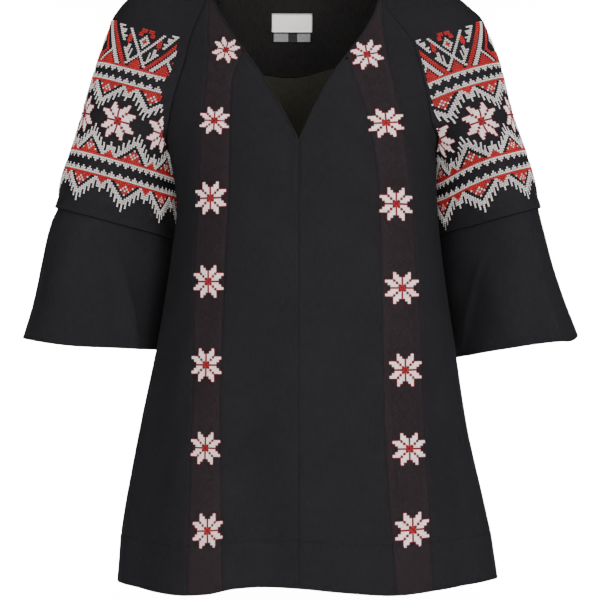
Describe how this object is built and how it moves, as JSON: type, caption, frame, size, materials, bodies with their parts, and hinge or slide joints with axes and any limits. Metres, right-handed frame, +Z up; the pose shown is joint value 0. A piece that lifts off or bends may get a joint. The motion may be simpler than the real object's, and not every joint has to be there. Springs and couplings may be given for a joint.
{
  "type": "embroidered folk blouse",
  "caption": "A-line tunic blouse with a V neck, raglan sleeves in cross-stitch bands over flared cuffs, and star strips down the front.",
  "frame": {"origin": "midway between the two points where the shoulders meet the neck, where the wearer's shoulders hold the blouse", "axes": "+Z up along the garment towards the neck, -Y out of the front, +X to the right of a viewer who faces the front"},
  "size_m": [0.6594, 0.2986, 0.736],
  "materials": {
    "black_cloth": "plain-woven black viscose and cotton, matt",
    "embroidered_cloth": "plain-woven black cloth under white and red cross-stitch",
    "woven_strip": "black cloth worked tone on tone in dark maroon thread, with white and red stars",
    "facing_cloth": "plain-woven black cloth, inner side",
    "label_white": "woven satin label, bare",
    "label_grey": "woven satin size tab, bare"
  },
  "bodies": {
    "root": {"front_center_left": "black_cloth", "front_center_right": "black_cloth", "front_strip_left": "woven_strip", "front_strip_right": "woven_strip", "side_front_left": "black_cloth", "side_front_right": "black_cloth", "back": "black_cloth", "back_neck_facing": "facing_cloth", "sleeve_upper_left": "embroidered_cloth", "sleeve_upper_right": "embroidered_cloth", "sleeve_lower_left": "black_cloth", "sleeve_lower_right": "black_cloth", "neck_label": "label_white", "size_label": "label_grey"}
  },
  "joints": []
}
